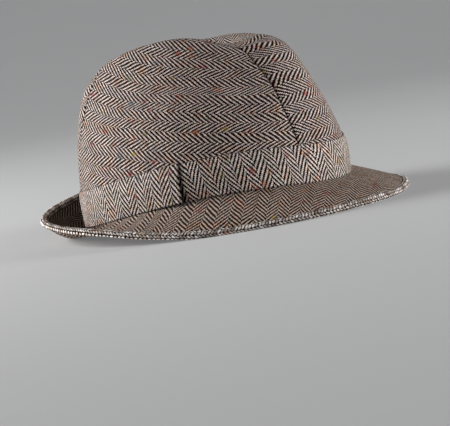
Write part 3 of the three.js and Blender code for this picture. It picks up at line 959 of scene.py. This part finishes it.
def brim_piece():
    turns = ring_turns(RING_STEPS)
    first = -brim_share(turns, CROWN_CLOTH, -SMALL)
    last = 1 - brim_share(turns, EDGE_WIDTH / 2 - BRIM_TUCK, 1 - SMALL)
    share = mix(first[None], last[None], BRIM_SHARES[:, None])
    grid = brim_point(turns[None], share)
    normal = directions(grid, ring=True)
    normal = normal * np.sign(normal[..., 2:3])
    near = from_borders(grid, ring=True)
    half = BRIM_CLOTH / 2 * rounded(near, BRIM_CLOTH / 2)
    uneven = ripple(grid, **BRIM_RIPPLE) * smooth_step(near, 0, BRIM_RIPPLE_FADE)
    middle = grid + normal * (uneven - BRIM_CLOTH / 2)[..., None]
    out = lengths(grid, 0)
    foot = brim_point(turns[None], np.zeros((1, RING_STEPS)))
    way = unit((grid[-1:] - foot) * (1, 1, 0))
    flat = foot + way * (out - CROWN_CLOTH)[..., None]
    flat = np.concatenate([flat, flat[:, :1]], 1)
    outer, inner = middle + normal * half[..., None], middle - normal * half[..., None]
    near = np.concatenate([near, near[:, :1]], 1)
    # Painted shade of the crown's shadow on the brim's top behind it; its underside has none
    hem_and_shade, under = hem_and_shade_uv(near, TROUGH_SHADE * behind(turns)), hem_and_shade_uv(near)
    return wall_mesh("brim_top", outer, inner, brim_uv(flat), hem_and_shade, shaded_top_cloth, ring=True, inner_hem=under)


def bell(value, middle, width):
    """1 at the middle, falling softly to nothing on both sides."""
    return np.exp(-(((value - middle) / width) ** 2))


def edge_piece():
    """Rolled edge: rows of yarn over two turned layers that meet in a groove round the outside."""
    turns = ring_turns(ROLL_STEPS)
    rim = brim_point(turns, 1.0)
    out = unit(rim - brim_point(turns, 1 - SMALL))
    ahead = unit(np.roll(rim, -1, 0) - np.roll(rim, 1, 0))
    up = unit(np.cross(out, ahead))
    up *= np.sign(up[:, 2:3])
    around = np.linspace(-math.pi, math.pi, ROLL_SIDES, endpoint=False)
    run = np.concatenate([[0], np.cumsum(np.linalg.norm(np.diff(rim, axis=0), axis=1))])
    total = run[-1] + np.linalg.norm(rim[0] - rim[-1])
    section = (EDGE_WIDTH + EDGE_THICKNESS) / 4 * 2 * math.pi
    girth = around[:, None] / (2 * math.pi) * section
    cosine, sine = np.cos(around)[:, None], np.sin(around)[:, None]
    groove = GROOVE_DEPTH * bell(girth, GROOVE_GIRTH, GROOVE_WIDTH)
    raised = 0
    for row in EDGE_ROWS:
        turn = 2 * math.pi * (run[None] / row["pitch"] + (girth - row["middle"]) * row["slant"])
        raised = raised - ROW_HEIGHT * np.cos(turn) * bell(girth, row["middle"], row["half_width"])
    size = 1 + (raised - groove + ripple(rim, **ROLL_RIPPLE)[None]) / (EDGE_WIDTH / 2)
    ring = (
        rim[None]
        - up[None] * BRIM_CLOTH / 2
        + out[None] * (EDGE_WIDTH / 2 * cosine * size)[..., None]
        + up[None] * (EDGE_THICKNESS / 2 * sine * size)[..., None]
    )
    span = np.concatenate([run, [total]])
    u, v = np.meshgrid(span, np.linspace(-section / 2, section / 2, ROLL_SIDES + 1))
    # Painted shade in the groove, and on the roll's inside behind the crown
    groove_shade = GROOVE_SHADE * bell(v, GROOVE_GIRTH, GROOVE_SHADE_WIDTH)
    shaded = np.maximum(groove_shade, ROLL_SHADE * behind(turns) * smooth_step(v, *ROLL_SHADE_SPAN))
    return tube_mesh("edge_roll", ring, np.stack([u, v, np.full_like(u, NO_BORDER), shaded], -1), roll_cloth)


def tube_mesh(name, ring, uv, material):
    """Closed tube whose section and length both join up."""
    sides, steps = ring.shape[:2]
    s, c = np.meshgrid(np.arange(sides), np.arange(steps), indexing="ij")
    s, c = s.ravel(), c.ravel()
    corners = [(s, c), (s, c + 1), (s + 1, c + 1), (s + 1, c)]
    faces = np.stack([(i % sides) * steps + j % steps for i, j in corners], -1)
    places = np.stack([uv[i, j] for i, j in corners], 1)
    points = ring.reshape(-1, 3)
    a, b, d = points[faces[:, 0]], points[faces[:, 1]], points[faces[:, 2]]
    if np.sum(a * np.cross(b, d)) < 0:
        faces, places = faces[:, ::-1], places[:, ::-1]
    rest = settle(points) + SHIFT
    rest[:, 2] = np.maximum(rest[:, 2], 0)
    return new_mesh(name, rest, faces, places, material)


panels = crown_panels()
dressed = [
    (panels["left"], "crown_side_left", "crown_cloth"),
    (panels["right"], "crown_side_right", "crown_cloth"),
    (panels["centre"], "crown_centre", "crown_cloth"),
    (band_piece(), "hat_band", "band_cloth"),
    (brim_piece(), "brim", "brim_cloth"),
    (edge_piece(), "brim_edge", "edge_cloth"),
]
for piece, node, slot in dressed:
    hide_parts(node)
    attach(piece, "root")


# Camera at the photograph's angle: azimuth from the hat's right side towards its front, and a roll that
# raises the hat's front in the picture

IMAGE_WIDTH = 450
CAMERA_AZIMUTH = math.radians(25)
CAMERA_ELEVATION = math.radians(7)
CAMERA_ROLL = math.radians(9.8)
CAMERA_DISTANCE = 1.5
PIXELS_PER_METRE = 1315
AIM = (-0.0008, -0.0004)
SENSOR = 36.0
CLIP_START = 0.05

towards = Vector((
    math.sin(CAMERA_AZIMUTH) * math.cos(CAMERA_ELEVATION),
    -math.cos(CAMERA_AZIMUTH) * math.cos(CAMERA_ELEVATION),
    math.sin(CAMERA_ELEVATION),
))
level_right = Vector((math.cos(CAMERA_AZIMUTH), math.sin(CAMERA_AZIMUTH), 0))
level_up = towards.cross(level_right)
right = level_right * math.cos(CAMERA_ROLL) - level_up * math.sin(CAMERA_ROLL)
up = level_right * math.sin(CAMERA_ROLL) + level_up * math.cos(CAMERA_ROLL)

camera = bpy.data.objects.new("camera", bpy.data.cameras.new("camera"))
bpy.context.scene.collection.objects.link(camera)
aim = right * AIM[0] + up * AIM[1]
pose = Matrix((right, up, towards)).transposed().to_4x4()
pose.translation = aim + towards * CAMERA_DISTANCE
camera.matrix_world = pose
camera.data.sensor_width = SENSOR
camera.data.lens = SENSOR * PIXELS_PER_METRE * CAMERA_DISTANCE / IMAGE_WIDTH
camera.data.clip_start = CLIP_START
bpy.context.scene.camera = camera


# Floor and light

# Paper, in metres: radius of its flat middle, how far that lies towards the camera, its sweep and its top
PAPER_FLAT = 2.3
PAPER_FORWARD = 1.1
PAPER_SWEEP = 1.6
PAPER_TOP = 3.0

# Sides of the paper's round, degrees between the rows of its sweep, its two tones and its own glow
PAPER_SIDES = 72
SWEEP_STEP = 6
PAPER_TONES = ((0.49, 0.49, 0.49, 1), (0.52, 0.52, 0.52, 1))
PAPER_GRAIN = 3.0
PAPER_GLOW = 0.13
PAPER_GLOW_COLOUR = (0.97, 0.98, 1.0, 1)

# Soft boxes: their places in metres, to the camera's right, above the floor and towards the camera, their
# sizes in metres and their power in watts
SOFT_BOXES = (
    dict(name="left_box", side=-1.23, height=0.42, front=-0.2, size=(0.6, 0.7), power=20),
    dict(name="right_box", side=1.25, height=0.43, front=0.12, size=(0.6, 0.7), power=12.6),
    dict(name="front_box", side=-0.1, height=0.5, front=1.9, size=(1.0, 0.7), power=2.7),
)
LIT_HEIGHT = 0.07
WORLD_COLOUR = (0.75, 0.76, 0.78, 1)
WORLD_STRENGTH = 0.04


def backdrop():
    """Plain pale paper, a little bright of itself: a round floor that sweeps up into a wall all round."""
    n = Nodes("backdrop")
    grain = n.noise(n.add("ShaderNodeTexCoord").outputs["Object"], PAPER_GRAIN)
    finish = n.add("ShaderNodeBsdfPrincipled", {
        "Base Color": n.mix(grain, *PAPER_TONES),
        "Roughness": 0.9,
        "Specular IOR Level": 0.1,
        "Emission Color": PAPER_GLOW_COLOUR,
        "Emission Strength": PAPER_GLOW,
    })
    n.put(n.add("ShaderNodeOutputMaterial").inputs["Surface"], finish.outputs[0])
    profile = [(PAPER_FLAT, 0.0)]
    for degrees in range(SWEEP_STEP, 91, SWEEP_STEP):
        angle = math.radians(degrees)
        profile.append((PAPER_FLAT + PAPER_SWEEP * math.sin(angle), PAPER_SWEEP * (1 - math.cos(angle))))
    profile.append((profile[-1][0], PAPER_TOP))
    middle = Vector((towards.x, towards.y, 0)).normalized() * PAPER_FORWARD
    turns = [2 * math.pi * i / PAPER_SIDES for i in range(PAPER_SIDES)]
    points = [tuple(middle + Vector((radius * math.cos(turn), radius * math.sin(turn), height)))
              for radius, height in profile for turn in turns]
    faces = [tuple(range(PAPER_SIDES))]
    for row in range(len(profile) - 1):
        low, high = row * PAPER_SIDES, (row + 1) * PAPER_SIDES
        for i in range(PAPER_SIDES):
            j = (i + 1) % PAPER_SIDES
            faces.append((low + i, high + i, high + j, low + j))
    mesh = bpy.data.meshes.new("backdrop")
    mesh.from_pydata(points, [], faces)
    mesh.polygons.foreach_set("use_smooth", np.ones(len(faces), bool))
    mesh.materials.append(n.material)
    paper = bpy.data.objects.new("backdrop", mesh)
    bpy.context.scene.collection.objects.link(paper)


def soft_box(name, side, height, front, size, power):
    """Area light placed by the camera's own directions and turned to the hat."""
    place = right * side + Vector((0, 0, height)) + towards * front
    lamp = bpy.data.objects.new(name, bpy.data.lights.new(name, "AREA"))
    lamp.data.shape = "RECTANGLE"
    lamp.data.size, lamp.data.size_y = size
    lamp.data.energy = power
    lamp.location = place
    lamp.rotation_euler = (place - Vector((0, 0, LIT_HEIGHT))).to_track_quat("Z", "Y").to_euler()
    bpy.context.scene.collection.objects.link(lamp)


backdrop()
for box in SOFT_BOXES:
    soft_box(**box)

world = bpy.data.worlds.new("world")
world.use_nodes = True
background = world.node_tree.nodes["Background"]
background.inputs["Color"].default_value = WORLD_COLOUR
background.inputs["Strength"].default_value = WORLD_STRENGTH
bpy.context.scene.world = world
bpy.context.scene.view_settings.view_transform = "Standard"
